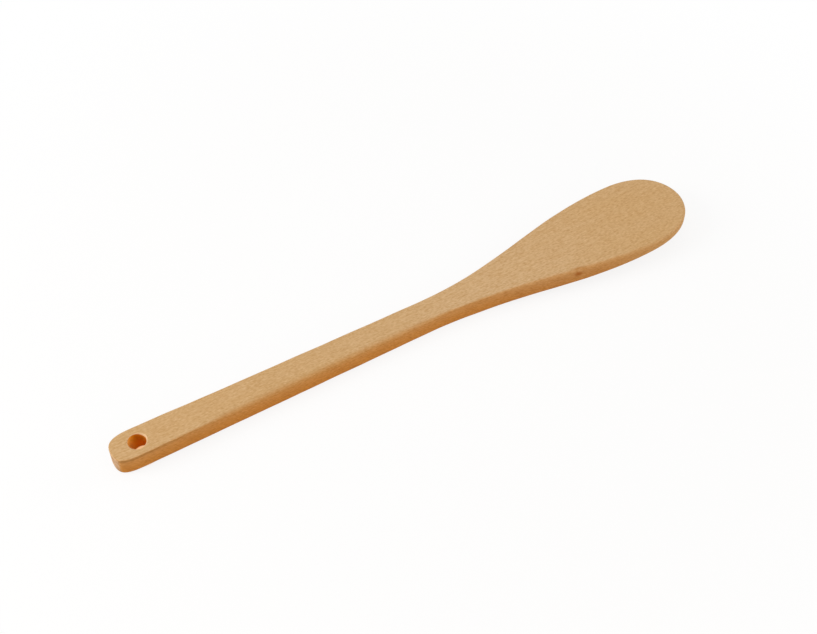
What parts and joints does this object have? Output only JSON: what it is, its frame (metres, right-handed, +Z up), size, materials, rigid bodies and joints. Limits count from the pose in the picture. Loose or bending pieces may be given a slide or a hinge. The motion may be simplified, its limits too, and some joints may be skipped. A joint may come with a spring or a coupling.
{
  "type": "wooden spatula",
  "caption": "One-piece beech spatula: flat tapering handle with a hanging hole, slim neck and a rounded oval blade that thins and lifts slightly towards its tip.",
  "frame": {"origin": "on the surface that the handle lies on, under the middle of the length and width", "axes": "+X from the butt of the handle to the tip of the blade, +Y across the blade, +Z up out of the top face"},
  "size_m": [0.3, 0.043, 0.0129],
  "materials": {
    "beech": "matte"
  },
  "bodies": {
    "root": {"spatula": "beech"}
  },
  "joints": []
}
